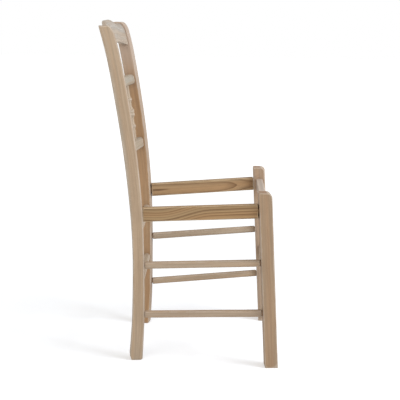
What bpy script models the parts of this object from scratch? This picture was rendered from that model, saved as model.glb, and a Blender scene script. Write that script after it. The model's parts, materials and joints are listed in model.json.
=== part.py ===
# Unfinished wooden side chair with a curved back, shown without its seat.
# Beech posts, legs, back and stretchers, with pine side rails at seat height.
# Metres, +Z up. The sitter looks along -Y, and -X is the sitter's right side.
# Pieces are laid out from the toe of the front legs and then centred on the footprint.

import math

import bmesh
import bpy
from mathutils import Euler, Matrix, Vector

# Overall layout
FRONT_WIDTH = 0.443
BACK_WIDTH = 0.392
SPLAY_HEIGHT = 0.430
POST_SPLAY = 0.045
FRAME_RISE = 0.061
LEG_RAKE = 0.056

# Front legs
LEG_WIDTH = 0.038
LEG_DEPTH = 0.0335
LEG_TURN = 4.0
LEG_HEIGHT = 0.457
LEG_TOP_ROUND = 0.012
LEG_TOP_TURNS = (30, 55, 75)

# Back posts: height above the floor, then distance of the rear face behind the toe of the legs.
# Posts and legs are turned about their own middles, in degrees, so that their fronts face inwards.
POST_WIDTH = 0.034
POST_TURN = 6.5
POST_HEIGHT = 0.865
POST_REAR = (
    (0.000, 0.3866),
    (0.100, 0.3794),
    (0.200, 0.3771),
    (0.300, 0.3775),
    (0.400, 0.3834),
    (0.550, 0.3999),
    (0.700, 0.4232),
    (0.800, 0.4421),
    (0.865, 0.4588),
)
POST_DEPTH = (
    (0.000, 0.0340),
    (0.150, 0.0305),
    (0.300, 0.0292),
    (0.450, 0.0325),
    (0.650, 0.0345),
    (0.865, 0.0343),
)
POST_TOP_ROUND_DEPTH = 0.012
POST_TOP_ROUND_HEIGHT = 0.024
POST_TOP_TURNS = (25, 45, 62, 76)
HEEL_CUT = 0.005
HEEL_CUT_HEIGHT = 0.012
TOE_CUT = 0.003
POST_STATIONS = 22

# Rounding of the long edges
FRONT_ARRIS = 0.0050
REAR_ARRIS = 0.0020
END_EASE = 0.0012
EASE_MIDDLE = 0.3
SHARP_ANGLE = 40

# Side rails of the seat, heights taken at the back posts. Their square shoulders stand off the
# turned faces by the two gaps, which are for the post and the leg.
SIDE_RAIL_TOP = 0.4090
SIDE_RAIL_HEIGHT = 0.0366
SIDE_RAIL_THICKNESS = 0.0180
SIDE_RAIL_ARRIS = 0.0022
SIDE_RAIL_TENON_HEIGHT = 0.0150
SIDE_RAIL_TENON_WIDTH = 0.0110
SIDE_RAIL_SHOULDER_GAPS = (0.0026, 0.0019)

# Side stretchers, heights taken at the back posts
UPPER_STRETCHER_TOP = 0.2645
LOWER_STRETCHER_TOP = 0.1317
STRETCHER_HEIGHT = 0.0180
STRETCHER_THICKNESS = 0.0170
STRETCHER_ARRIS = 0.0050
STRETCHER_TENON = 0.0110
STRETCHER_SHOULDER_GAPS = (0.0024, 0.0014)
STRETCHER_END_EASE = 0.0035
SIDE_TENON_LENGTH = 0.0180

# Front seat rail and front stretcher, which run between the legs
FRONT_RAIL_TOP = 0.4255
FRONT_RAIL_HEIGHT = 0.0350
FRONT_RAIL_THICKNESS = 0.0185
FRONT_RAIL_SETBACK = 0.0076
FRONT_STRETCHER_MIDDLE = 0.2150
FRONT_STRETCHER_HEIGHT = 0.0300
FRONT_STRETCHER_THICKNESS = 0.0180
CROSS_TENON_LENGTH = 0.0115
CROSS_TENON_THICKNESS = 0.0090
CROSS_TENON_SHOULDER = 0.0080

# Rear rail under the seat line and rear stretcher, which run between the posts
REAR_RAIL_TOP = 0.3500
REAR_RAIL_HEIGHT = 0.0200
REAR_STRETCHER_TOP = 0.2080
REAR_STRETCHER_HEIGHT = 0.0190
REAR_BAR_THICKNESS = 0.0170
REAR_BAR_ARRIS = 0.0060
REAR_BAR_SETBACK = 0.0050
REAR_BAR_TENON = 0.0110

# Bowed back rails that hold the spindles
UPPER_BACK_RAIL_DROP = 0.1580
UPPER_BACK_RAIL_HEIGHT = 0.0280
BACK_RAIL_SPACING = 0.1780
LOWER_BACK_RAIL_HEIGHT = 0.0310
BACK_RAIL_THICKNESS = 0.0200
BACK_RAIL_ARRIS = 0.0085
BACK_RAIL_SETBACK = 0.0090
BACK_RAIL_BOW = 0.0165
BACK_RAIL_TENON_HEIGHT = 0.0150
UPPER_BACK_RAIL_MIDDLE = POST_HEIGHT - UPPER_BACK_RAIL_DROP
LOWER_BACK_RAIL_MIDDLE = UPPER_BACK_RAIL_MIDDLE - BACK_RAIL_SPACING

# Bowed crest rail with a raised middle
CREST_END_DROP = 0.0030
CREST_END_HEIGHT = 0.0630
CREST_RISE = 0.0120
CREST_ARCH = 0.0140
CREST_RISE_INNER = 0.0600
CREST_RISE_OUTER = 0.1330
CREST_THICKNESS = 0.0180
CREST_FRONT_ROUND_DEPTH = 0.0130
CREST_FRONT_ROUND_HEIGHT = 0.0200
CREST_ARRIS = 0.0030
CREST_SETBACK = 0.0080
CREST_BOW = 0.0140
CREST_TENON_HEIGHT = 0.0360
BOW_STATIONS = 14

# Turned spindles
SPINDLE_COUNT = 4
SPINDLE_PITCH = 0.0770
SPINDLE_END_RADIUS = 0.0046
SPINDLE_TAPER_RADIUS = 0.0052
SPINDLE_NECK_RADIUS = 0.0057
SPINDLE_BEAD_RADIUS = 0.0087
SPINDLE_BULB_RADIUS = 0.0102
SPINDLE_BEAD_OFFSET = 0.0370
SPINDLE_BEAD_REACH = 0.0080
SPINDLE_NECK_OFFSET = 0.0200
SPINDLE_BULB_OFFSET = 0.0045
SPINDLE_BULB_SHOULDER_OFFSET = 0.0110
SPINDLE_BULB_SHOULDER_RADIUS = 0.0084
SPINDLE_TAPER_OFFSET = 0.0550
SPINDLE_SIDES = 12
SPINDLE_SOCKET_SHORT = 0.0030

# Fits
CLEARANCE = 0.0003
MORTISE_SPARE = 0.0010
WELD_DISTANCE = 0.00001
CUTTER_OVERRUN = 0.0060
TENON_CHAMFER = 0.0010
CORNER_STEPS = 2

BEECH_COLOUR = (0.46, 0.34, 0.22, 1.0)
PINE_COLOUR = (0.39, 0.24, 0.12, 1.0)
WOOD_ROUGHNESS = 0.6

SIDES = {"right": -1.0, "left": 1.0}


def clear_scene():
    for old in list(bpy.data.objects):
        bpy.data.objects.remove(old, do_unlink=True)


def new_collection(name):
    collection = bpy.data.collections.new(name)
    bpy.context.scene.collection.children.link(collection)
    return collection


def curve_at(stations, where):
    """Smooth curve through the stations, carried on straight beyond its ends."""
    count = len(stations)
    slopes = []
    for index in range(count):
        before = stations[max(index - 1, 0)]
        after = stations[min(index + 1, count - 1)]
        slopes.append((after[1] - before[1]) / (after[0] - before[0]))
    if where <= stations[0][0]:
        return stations[0][1] + slopes[0] * (where - stations[0][0])
    if where >= stations[-1][0]:
        return stations[-1][1] + slopes[-1] * (where - stations[-1][0])
    index = max(i for i in range(count - 1) if stations[i][0] <= where)
    (start, low), (end, high) = stations[index], stations[index + 1]
    span = end - start
    part = (where - start) / span
    rest = 1.0 - part
    return (
        low * (1.0 + 2.0 * part) * rest * rest
        + high * (1.0 + 2.0 * rest) * part * part
        + slopes[index] * span * part * rest * rest
        - slopes[index + 1] * span * rest * part * part
    )


def smooth_step(value):
    value = min(max(value, 0.0), 1.0)
    return value * value * (3.0 - 2.0 * value)


def post_rear(height):
    return curve_at(POST_REAR, height)


def post_front(height):
    return post_rear(height) - curve_at(POST_DEPTH, height)


def post_middle_x(height):
    return BACK_WIDTH / 2 - POST_WIDTH / 2 + POST_SPLAY * (height - SPLAY_HEIGHT)


def post_inner_x(height, depth=None):
    """Inner face of the turned post, at a depth behind its front, or else at its middle."""
    behind = 0.0 if depth is None else depth - curve_at(POST_DEPTH, height) / 2
    turn = math.radians(POST_TURN)
    return post_middle_x(height) - POST_WIDTH / 2 / math.cos(turn) + behind * math.tan(turn)


def leg_front(height):
    return LEG_RAKE * height


def leg_rear(height):
    return leg_front(height) + LEG_DEPTH


LEG_MIDDLE_X = FRONT_WIDTH / 2 - LEG_WIDTH / 2


def leg_inner_x(depth):
    """Inner face of the turned leg, at a depth behind its front."""
    turn = math.radians(LEG_TURN)
    return LEG_MIDDLE_X - LEG_WIDTH / 2 / math.cos(turn) + (depth - LEG_DEPTH / 2) * math.tan(turn)


def rounded(width, height, radii, grow=0.0):
    """Rectangle with rounded corners; radii run from the low front corner round to the low rear one."""
    half_w = width / 2 + grow
    half_h = height / 2 + grow
    corners = ((-1, -1), (-1, 1), (1, 1), (1, -1))
    outline = []
    for number, (sign_w, sign_h) in enumerate(corners):
        radius = min(radii[number] + max(grow, 0.0), half_w, half_h)
        start = math.pi * (1.5 - 0.5 * number)
        for step in range(CORNER_STEPS + 1):
            angle = start - 0.5 * math.pi * step / CORNER_STEPS
            outline.append((
                sign_w * (half_w - radius) + radius * math.cos(angle),
                sign_h * (half_h - radius) + radius * math.sin(angle),
            ))
    return outline


def make_material(name, colour):
    material = bpy.data.materials.new(name)
    material.use_nodes = True
    shader = material.node_tree.nodes["Principled BSDF"]
    shader.inputs["Base Color"].default_value = colour
    shader.inputs["Roughness"].default_value = WOOD_ROUGHNESS
    shader.inputs["Metallic"].default_value = 0.0
    return material


def finish_mesh(bm, name):
    bmesh.ops.recalc_face_normals(bm, faces=bm.faces)
    mesh = bpy.data.meshes.new(name)
    bm.to_mesh(mesh)
    bm.free()
    mesh.shade_smooth()
    mesh.set_sharp_from_angle(angle=math.radians(SHARP_ANGLE))
    return mesh


def loft(name, rings):
    """Skin over closed rings that all have the same number of points, with a flat cap at each end."""
    bm = bmesh.new()
    rows = [[bm.verts.new(point) for point in ring] for ring in rings]
    for row, following in zip(rows, rows[1:]):
        for index in range(len(row)):
            after = (index + 1) % len(row)
            bm.faces.new((row[index], row[after], following[after], following[index]))
    bm.faces.new(rows[0])
    bm.faces.new(list(reversed(rows[-1])))
    return finish_mesh(bm, name)


class Chair:
    """Holds the collections and the empty that every piece is parented to."""

    def __init__(self):
        self.parts = new_collection("raw_wood_chair")
        self.cutters = new_collection("mortise_cutters")
        self.base = bpy.data.objects.new("chair_base", None)
        self.parts.objects.link(self.base)

    def add(self, name, mesh, colour, location=(0.0, 0.0, 0.0), rotation=None):
        piece = bpy.data.objects.new(name, mesh)
        piece.location = location
        piece.rotation_euler = rotation or Euler()
        piece.parent = self.base
        mesh.materials.append(make_material(name + "_wood", colour))
        self.parts.objects.link(piece)
        return piece

    def cut(self, target, name, mesh, location=(0.0, 0.0, 0.0), rotation=None):
        cutter = bpy.data.objects.new(name, mesh)
        cutter.location = location
        cutter.rotation_euler = rotation or Euler()
        cutter.parent = self.base
        cutter.hide_render = True
        cutter.display_type = "WIRE"
        self.cutters.objects.link(cutter)
        modifier = target.modifiers.new(name, "BOOLEAN")
        modifier.operation = "DIFFERENCE"
        modifier.solver = "EXACT"
        modifier.object = cutter


def upright_ring(pivot, turn, width, front, rear, height, front_radius, rear_radius):
    """Level slice through a post or leg, turned about its pivot."""
    outline = rounded(rear - front, width, (front_radius, front_radius, rear_radius, rear_radius))
    cos_turn, sin_turn = math.cos(turn), math.sin(turn)
    ring = []
    for along, across in outline:
        behind = along + (front + rear) / 2 - pivot[1]
        ring.append((
            pivot[0] + across * cos_turn - behind * sin_turn,
            pivot[1] + across * sin_turn + behind * cos_turn,
            height,
        ))
    return ring


def make_post(chair, side_name):
    """Curved back post: the foot kicks back, the middle is upright and the back is raked."""
    sign = SIDES[side_name]
    body_height = POST_HEIGHT - POST_TOP_ROUND_HEIGHT - HEEL_CUT_HEIGHT
    heel_at_toe = HEEL_CUT * (1 - TOE_CUT / HEEL_CUT_HEIGHT)
    slices = [(0.0, TOE_CUT, HEEL_CUT, END_EASE), (TOE_CUT, 0.0, heel_at_toe, 0.0)]
    for step in range(POST_STATIONS + 1):
        slices.append((HEEL_CUT_HEIGHT + body_height * step / POST_STATIONS, 0.0, 0.0, 0.0))
    for angle in POST_TOP_TURNS:
        turn = math.radians(angle)
        drop = POST_TOP_ROUND_HEIGHT * (1 - math.sin(turn))
        slices.append((POST_HEIGHT - drop, POST_TOP_ROUND_DEPTH * (1 - math.cos(turn)), 0.0, 0.0))
    slices.append((POST_HEIGHT, POST_TOP_ROUND_DEPTH, END_EASE, END_EASE))
    rings = []
    for height, front_inset, rear_inset, side_inset in slices:
        rings.append(upright_ring(
            (sign * post_middle_x(height), (post_front(height) + post_rear(height)) / 2),
            -sign * math.radians(POST_TURN),
            POST_WIDTH - 2 * side_inset,
            post_front(height) + front_inset,
            post_rear(height) - rear_inset,
            height,
            FRONT_ARRIS,
            REAR_ARRIS,
        ))
    return chair.add("back_post_" + side_name, loft("back_post_" + side_name, rings), BEECH_COLOUR)


def make_leg(chair, side_name):
    """Straight front leg, raked forward towards the floor, its top front corner rounded."""
    sign = SIDES[side_name]
    slices = [(0.0, END_EASE, END_EASE), (END_EASE, 0.0, 0.0), (LEG_HEIGHT - LEG_TOP_ROUND, 0.0, 0.0)]
    for angle in LEG_TOP_TURNS:
        turn = math.radians(angle)
        drop = LEG_TOP_ROUND * (1 - math.sin(turn))
        slices.append((LEG_HEIGHT - drop, LEG_TOP_ROUND * (1 - math.cos(turn)), 0.0))
    slices.append((LEG_HEIGHT, LEG_TOP_ROUND, END_EASE))
    rings = []
    for height, front_inset, edge_inset in slices:
        rings.append(upright_ring(
            (sign * LEG_MIDDLE_X, leg_front(height) + LEG_DEPTH / 2),
            -sign * math.radians(LEG_TURN),
            LEG_WIDTH - 2 * edge_inset,
            leg_front(height) + front_inset,
            leg_rear(height) - edge_inset,
            height,
            REAR_ARRIS,
            REAR_ARRIS,
        ))
    return chair.add("front_leg_" + side_name, loft("front_leg_" + side_name, rings), BEECH_COLOUR)


def straight_rings(stations):
    """Rings square to X from (x, outline) pairs."""
    return [[(x, across, up) for across, up in outline] for x, outline in stations]


def make_side_bar(chair, name, side_name, post, leg, top, size, arris, tenon, gaps, ease, colour):
    """Rail or stretcher from a post to a leg, with a tenon at each end and mortises cut for them."""
    sign = SIDES[side_name]
    thickness, height = size
    tenon_width, tenon_height = tenon
    low = top - height / 2
    start = Vector((sign * post_middle_x(low), post_front(low), low))
    run = start.y - leg_rear(low)
    high = low + FRAME_RISE * run
    end = Vector((sign * LEG_MIDDLE_X, leg_rear(high), high))
    along = (end - start).normalized()
    across = Vector((0, 0, 1)).cross(along).normalized()
    rotation = Matrix((along, across, along.cross(across))).transposed().to_euler()
    length = (end - start).length

    tenon_radii = (min(tenon) / 2,) * 4
    radii = (arris,) * 4
    body = rounded(thickness, height, radii)
    eased = rounded(thickness, height, radii, -ease)
    half_eased = rounded(thickness, height, radii, -EASE_MIDDLE * ease)
    peg = rounded(tenon_width, tenon_height, tenon_radii)
    peg_tip = rounded(tenon_width, tenon_height, tenon_radii, -TENON_CHAMFER)
    halves = []
    for gap in gaps:
        halves.append([
            (-SIDE_TENON_LENGTH, peg_tip),
            (-SIDE_TENON_LENGTH + TENON_CHAMFER, peg),
            (gap, peg),
            (gap, eased),
            (gap + EASE_MIDDLE * ease, half_eased),
            (gap + ease, body),
        ])
    stations = halves[0] + [(length - x, outline) for x, outline in reversed(halves[1])]
    bar = chair.add(name, loft(name, straight_rings(stations)), colour, start, rotation)

    hole = rounded(tenon_width, tenon_height, tenon_radii, CLEARANCE)
    bottom = SIDE_TENON_LENGTH + MORTISE_SPARE
    back_cut = straight_rings([(-bottom, hole), (CUTTER_OVERRUN, hole)])
    front_cut = straight_rings([(length - CUTTER_OVERRUN, hole), (length + bottom, hole)])
    chair.cut(post, name + "_back_mortise", loft(name + "_back_mortise", back_cut), start, rotation)
    chair.cut(leg, name + "_front_mortise", loft(name + "_front_mortise", front_cut), start, rotation)
    return bar


def make_leg_bar(chair, name, legs, middle, height, thickness, setback, arris):
    """Straight bar between the front legs, tilted with their rake."""
    front = leg_front(middle)
    location = Vector((0, front + setback + thickness / 2, middle))
    rotation = Euler((-math.atan(LEG_RAKE), 0, 0))
    radii = (arris,) * 4
    tenon_height = height - 2 * CROSS_TENON_SHOULDER
    tenon_radii = (CROSS_TENON_THICKNESS / 2,) * 4
    peg = rounded(CROSS_TENON_THICKNESS, tenon_height, tenon_radii)
    peg_tip = rounded(CROSS_TENON_THICKNESS, tenon_height, tenon_radii, -TENON_CHAMFER)
    body = rounded(thickness, height, radii)
    length = CROSS_TENON_LENGTH

    def end_ring(sign, outline, extra):
        ring = []
        for across, up in outline:
            reach = leg_inner_x(setback + thickness / 2 + across) - CLEARANCE + extra
            ring.append((sign * reach, across, up))
        return ring

    half = [(peg_tip, length), (peg, length - TENON_CHAMFER), (peg, 0.0), (body, 0.0)]
    rings = [end_ring(-1.0, outline, extra) for outline, extra in half]
    rings += [end_ring(1.0, outline, extra) for outline, extra in reversed(half)]
    bar = chair.add(name, loft(name, rings), BEECH_COLOUR, location, rotation)
    hole = rounded(CROSS_TENON_THICKNESS, tenon_height, tenon_radii, CLEARANCE)
    for side_name, leg in legs.items():
        sign = SIDES[side_name]
        cut_name = name + "_mortise_" + side_name
        rings = [end_ring(sign, hole, -CUTTER_OVERRUN), end_ring(sign, hole, length + MORTISE_SPARE)]
        chair.cut(leg, cut_name, loft(cut_name, rings), location, rotation)
    return bar


def bowed_ring(part, section, bow, extra=0.0):
    """Ring of a bar between the posts; part runs from -1 to 1, and extra carries a tenon further."""
    ring = []
    for depth, height in section:
        reach = post_inner_x(height, depth) - CLEARANCE
        sideways = part * reach + math.copysign(1.0, part) * extra
        ring.append((sideways, post_front(height) + depth + bow * (1 - part * part), height))
    return ring


def shifted(outline, depth, height):
    return [(depth + along, height + up) for along, up in outline]


def make_post_bar(chair, name, posts, section_at, tenon, bow, stations):
    """Bar between the posts that follows their splay, with tenons in their inner faces."""
    tenon_depth, tenon_middle, tenon_thickness, tenon_height = tenon
    radii = (tenon_thickness / 2,) * 4

    def peg(grow):
        return shifted(rounded(tenon_thickness, tenon_height, radii, grow), tenon_depth, tenon_middle)

    length = CROSS_TENON_LENGTH
    rings = [
        bowed_ring(-1.0, peg(-TENON_CHAMFER), bow, length),
        bowed_ring(-1.0, peg(0.0), bow, length - TENON_CHAMFER),
        bowed_ring(-1.0, peg(0.0), bow),
    ]
    for step in range(stations + 1):
        part = -1.0 + 2.0 * step / stations
        rings.append(bowed_ring(part, section_at(part), bow))
    rings += [
        bowed_ring(1.0, peg(0.0), bow),
        bowed_ring(1.0, peg(0.0), bow, length - TENON_CHAMFER),
        bowed_ring(1.0, peg(-TENON_CHAMFER), bow, length),
    ]
    bar = chair.add(name, loft(name, rings), BEECH_COLOUR)
    for side_name, post in posts.items():
        sign = SIDES[side_name]
        cut_name = name + "_mortise_" + side_name
        ends = [
            bowed_ring(sign, peg(CLEARANCE), bow, -CUTTER_OVERRUN),
            bowed_ring(sign, peg(CLEARANCE), bow, length + MORTISE_SPARE),
        ]
        chair.cut(post, cut_name, loft(cut_name, ends))
    return bar


def plain_section(thickness, height, arris, setback, middle):
    outline = rounded(thickness, height, (arris,) * 4)
    return shifted(outline, setback + thickness / 2, middle)


def make_rear_bar(chair, name, posts, top, height):
    middle = top - height / 2
    section = plain_section(REAR_BAR_THICKNESS, height, REAR_BAR_ARRIS, REAR_BAR_SETBACK, middle)
    tenon = (REAR_BAR_SETBACK + REAR_BAR_THICKNESS / 2, middle, REAR_BAR_TENON, REAR_BAR_TENON)
    return make_post_bar(chair, name, posts, lambda part: section, tenon, 0.0, 1)


def make_back_rail(chair, name, posts, middle, height):
    section = plain_section(BACK_RAIL_THICKNESS, height, BACK_RAIL_ARRIS, BACK_RAIL_SETBACK, middle)
    depth = BACK_RAIL_SETBACK + BACK_RAIL_THICKNESS / 2
    tenon = (depth, middle, CROSS_TENON_THICKNESS, BACK_RAIL_TENON_HEIGHT)
    return make_post_bar(chair, name, posts, lambda part: section, tenon, BACK_RAIL_BOW, BOW_STATIONS)


def make_crest(chair, posts):
    """Crest rail: level shoulders at the posts, a raised middle and an arched lower edge."""
    end_top = POST_HEIGHT - CREST_END_DROP
    end_bottom = POST_HEIGHT - CREST_END_HEIGHT
    reach = post_inner_x(end_top)

    def section_at(part):
        away = abs(part) * reach
        rise = CREST_RISE * smooth_step((CREST_RISE_OUTER - away) / (CREST_RISE_OUTER - CREST_RISE_INNER))
        top = end_top + rise
        bottom = end_bottom + CREST_ARCH * (1 - part * part)
        outline = rounded(CREST_THICKNESS, top - bottom, (CREST_ARRIS,) * 4)
        corner = len(outline) // 4
        for step in range(CORNER_STEPS + 1):
            angle = 0.5 * math.pi * step / CORNER_STEPS
            outline[corner + step] = (
                CREST_FRONT_ROUND_DEPTH * (1 - math.cos(angle)) - CREST_THICKNESS / 2,
                CREST_FRONT_ROUND_HEIGHT * (math.sin(angle) - 1) + (top - bottom) / 2,
            )
        return shifted(outline, CREST_SETBACK + CREST_THICKNESS / 2, (top + bottom) / 2)

    tenon_middle = (end_top + end_bottom) / 2
    tenon = (CREST_SETBACK + CREST_THICKNESS / 2, tenon_middle, CROSS_TENON_THICKNESS, CREST_TENON_HEIGHT)
    return make_post_bar(chair, "crest_rail", posts, section_at, tenon, CREST_BOW, 2 * BOW_STATIONS)


def back_rail_point(middle, across):
    """Middle of a bowed back rail at a distance from the chair's centre line."""
    reach = post_inner_x(middle) - CLEARANCE
    part = across / reach
    depth = post_front(middle) + BACK_RAIL_SETBACK + BACK_RAIL_THICKNESS / 2
    return Vector((across, depth + BACK_RAIL_BOW * (1 - part * part), middle))


def spindle_profile(length):
    """Radius and height pairs of the turned outline, from the top down."""
    half = [
        (SPINDLE_TAPER_OFFSET, SPINDLE_TAPER_RADIUS),
        (SPINDLE_BEAD_OFFSET + SPINDLE_BEAD_REACH, SPINDLE_NECK_RADIUS),
        (SPINDLE_BEAD_OFFSET, SPINDLE_BEAD_RADIUS),
        (SPINDLE_BEAD_OFFSET - SPINDLE_BEAD_REACH, SPINDLE_NECK_RADIUS),
        (SPINDLE_NECK_OFFSET, SPINDLE_NECK_RADIUS),
        (SPINDLE_BULB_SHOULDER_OFFSET, SPINDLE_BULB_SHOULDER_RADIUS),
        (SPINDLE_BULB_OFFSET, SPINDLE_BULB_RADIUS),
    ]
    outline = [(0.0, length / 2), (SPINDLE_END_RADIUS, length / 2)]
    outline += [(radius, offset) for offset, radius in half]
    outline += [(radius, -offset) for offset, radius in reversed(half)]
    outline += [(SPINDLE_END_RADIUS, -length / 2), (0.0, -length / 2)]
    return outline


def screw(piece, steps):
    modifier = piece.modifiers.new("turned", "SCREW")
    modifier.axis = "Z"
    modifier.steps = steps
    modifier.render_steps = steps
    modifier.use_merge_vertices = True
    modifier.merge_threshold = WELD_DISTANCE
    modifier.use_normal_calculate = True


def profile_mesh(name, outline):
    mesh = bpy.data.meshes.new(name)
    points = [(radius, 0.0, height) for radius, height in outline]
    edges = [(index, index + 1) for index in range(len(points) - 1)]
    mesh.from_pydata(points, edges, [])
    return mesh


def make_spindles(chair, upper_rail, lower_rail):
    for number in range(SPINDLE_COUNT):
        across = (number - (SPINDLE_COUNT - 1) / 2) * SPINDLE_PITCH
        name = "spindle_%d" % (number + 1)
        low = back_rail_point(LOWER_BACK_RAIL_MIDDLE, across)
        high = back_rail_point(UPPER_BACK_RAIL_MIDDLE, across)
        axis = high - low
        length = axis.length - 2 * SPINDLE_SOCKET_SHORT
        rotation = Vector((0, 0, 1)).rotation_difference(axis).to_euler()
        middle = (low + high) / 2
        piece = chair.add(name, profile_mesh(name, spindle_profile(length)), BEECH_COLOUR, middle, rotation)
        screw(piece, SPINDLE_SIDES)
        for rail, end in ((upper_rail, 1), (lower_rail, -1)):
            cut_name = "%s_socket_%s" % (name, "top" if end > 0 else "bottom")
            bm = bmesh.new()
            radius = SPINDLE_END_RADIUS + CLEARANCE
            depth = UPPER_BACK_RAIL_HEIGHT
            sides = SPINDLE_SIDES
            bmesh.ops.create_cone(
                bm, cap_ends=True, segments=sides, radius1=radius, radius2=radius, depth=depth
            )
            inner_end = length / 2 + MORTISE_SPARE
            shift = end * (inner_end - depth / 2)
            bmesh.ops.translate(bm, verts=bm.verts, vec=(0, 0, shift))
            chair.cut(rail, cut_name, finish_mesh(bm, cut_name), middle, rotation)


def centre_on_footprint(chair):
    """Move the empty so that the model's bounding box is centred on the origin in Y."""
    bpy.context.view_layer.update()
    depsgraph = bpy.context.evaluated_depsgraph_get()
    depths = []
    for piece in chair.parts.objects:
        if piece.type != "MESH":
            continue
        evaluated = piece.evaluated_get(depsgraph)
        depths += [(evaluated.matrix_world @ vertex.co).y for vertex in evaluated.data.vertices]
    chair.base.location.y = -(min(depths) + max(depths)) / 2


def build():
    clear_scene()
    chair = Chair()
    posts = {side_name: make_post(chair, side_name) for side_name in SIDES}
    legs = {side_name: make_leg(chair, side_name) for side_name in SIDES}
    for side_name in SIDES:
        make_side_bar(
            chair, "side_rail_" + side_name, side_name, posts[side_name], legs[side_name], SIDE_RAIL_TOP,
            (SIDE_RAIL_THICKNESS, SIDE_RAIL_HEIGHT), SIDE_RAIL_ARRIS,
            (SIDE_RAIL_TENON_WIDTH, SIDE_RAIL_TENON_HEIGHT),
            SIDE_RAIL_SHOULDER_GAPS, END_EASE, PINE_COLOUR,
        )
        for level, top in (("upper", UPPER_STRETCHER_TOP), ("lower", LOWER_STRETCHER_TOP)):
            make_side_bar(
                chair, "side_stretcher_%s_%s" % (level, side_name), side_name,
                posts[side_name], legs[side_name], top,
                (STRETCHER_THICKNESS, STRETCHER_HEIGHT), STRETCHER_ARRIS,
                (STRETCHER_TENON, STRETCHER_TENON),
                STRETCHER_SHOULDER_GAPS, STRETCHER_END_EASE, BEECH_COLOUR,
            )
    make_leg_bar(
        chair, "front_seat_rail", legs, FRONT_RAIL_TOP - FRONT_RAIL_HEIGHT / 2,
        FRONT_RAIL_HEIGHT, FRONT_RAIL_THICKNESS, FRONT_RAIL_SETBACK, SIDE_RAIL_ARRIS,
    )
    make_leg_bar(
        chair, "front_stretcher", legs, FRONT_STRETCHER_MIDDLE, FRONT_STRETCHER_HEIGHT,
        FRONT_STRETCHER_THICKNESS, (LEG_DEPTH - FRONT_STRETCHER_THICKNESS) / 2, STRETCHER_ARRIS,
    )
    make_rear_bar(chair, "rear_rail", posts, REAR_RAIL_TOP, REAR_RAIL_HEIGHT)
    make_rear_bar(chair, "rear_stretcher", posts, REAR_STRETCHER_TOP, REAR_STRETCHER_HEIGHT)
    make_crest(chair, posts)
    upper_size = (UPPER_BACK_RAIL_MIDDLE, UPPER_BACK_RAIL_HEIGHT)
    lower_size = (LOWER_BACK_RAIL_MIDDLE, LOWER_BACK_RAIL_HEIGHT)
    upper = make_back_rail(chair, "back_rail_upper", posts, *upper_size)
    lower = make_back_rail(chair, "back_rail_lower", posts, *lower_size)
    make_spindles(chair, upper, lower)
    centre_on_footprint(chair)


build()
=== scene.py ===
import json
import math

import bmesh
import bpy
import numpy as np
from mathutils import Matrix, Vector, noise

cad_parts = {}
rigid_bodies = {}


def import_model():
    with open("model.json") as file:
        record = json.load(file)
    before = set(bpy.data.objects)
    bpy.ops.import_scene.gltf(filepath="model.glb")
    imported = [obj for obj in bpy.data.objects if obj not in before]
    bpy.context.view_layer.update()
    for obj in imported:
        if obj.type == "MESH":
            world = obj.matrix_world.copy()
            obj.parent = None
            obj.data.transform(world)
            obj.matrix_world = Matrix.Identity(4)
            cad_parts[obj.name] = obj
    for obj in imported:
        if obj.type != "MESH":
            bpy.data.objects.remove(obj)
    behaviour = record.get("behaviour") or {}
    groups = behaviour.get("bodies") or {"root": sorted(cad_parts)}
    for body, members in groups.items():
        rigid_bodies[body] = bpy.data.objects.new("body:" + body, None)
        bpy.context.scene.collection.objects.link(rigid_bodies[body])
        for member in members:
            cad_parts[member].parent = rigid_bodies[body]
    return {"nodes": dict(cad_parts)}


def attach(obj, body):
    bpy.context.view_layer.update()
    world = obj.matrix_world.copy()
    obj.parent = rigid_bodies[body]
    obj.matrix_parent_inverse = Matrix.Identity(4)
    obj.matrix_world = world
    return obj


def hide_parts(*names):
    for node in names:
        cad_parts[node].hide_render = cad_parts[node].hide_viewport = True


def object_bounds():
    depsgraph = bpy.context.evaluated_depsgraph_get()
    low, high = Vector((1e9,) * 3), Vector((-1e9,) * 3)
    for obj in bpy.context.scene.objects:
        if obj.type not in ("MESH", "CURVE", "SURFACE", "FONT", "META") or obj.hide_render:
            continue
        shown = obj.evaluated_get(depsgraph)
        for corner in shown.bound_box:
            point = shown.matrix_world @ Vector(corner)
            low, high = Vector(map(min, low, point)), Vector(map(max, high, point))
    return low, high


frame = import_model()
cadBox = [list(corner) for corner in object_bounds()]
print("frame loaded, nodes:", len(frame["nodes"]))

# heights are taken from the floor, and depths from the toe of the front legs
layout = {
    "toe": cadBox[0][1] + 0.001078,  # a corner of the turned leg stands in front of it
    "frontWidth": 0.443,
    "backWidth": 0.392,       # across the posts at splayHeight
    "splayHeight": 0.430,
    "postSplay": 0.045,
    "frameRise": 0.061,       # how the side bars climb towards the front
    "legRake": 0.056,
    "tenonClearance": 0.0003,
    "tenonChamfer": 0.001,    # round the tip of a tenon
    "mortiseSpare": 0.0010,   # beyond the tip of a tenon
    "mouthReach": 0.0060,     # how far a cutter stands out of its mortise
    "ringSpacing": 0.012,     # between the rings that a bar is made of
    "endSpacing": 0.004,      # from a shoulder's eased edge to the next ring
    "easeDepth": 0.8,         # of an eased end, as a part of its length
    "easeSteps": (0.0, 0.04, 0.15, 0.4, 1.0),
    "arrisWander": 0.20,      # how much the arrises of straight bars vary in all
}
sides = {"right": -1.0, "left": 1.0}
upAxis = Vector((0.0, 0.0, 1.0))


# small helpers for curves and outlines

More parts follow.
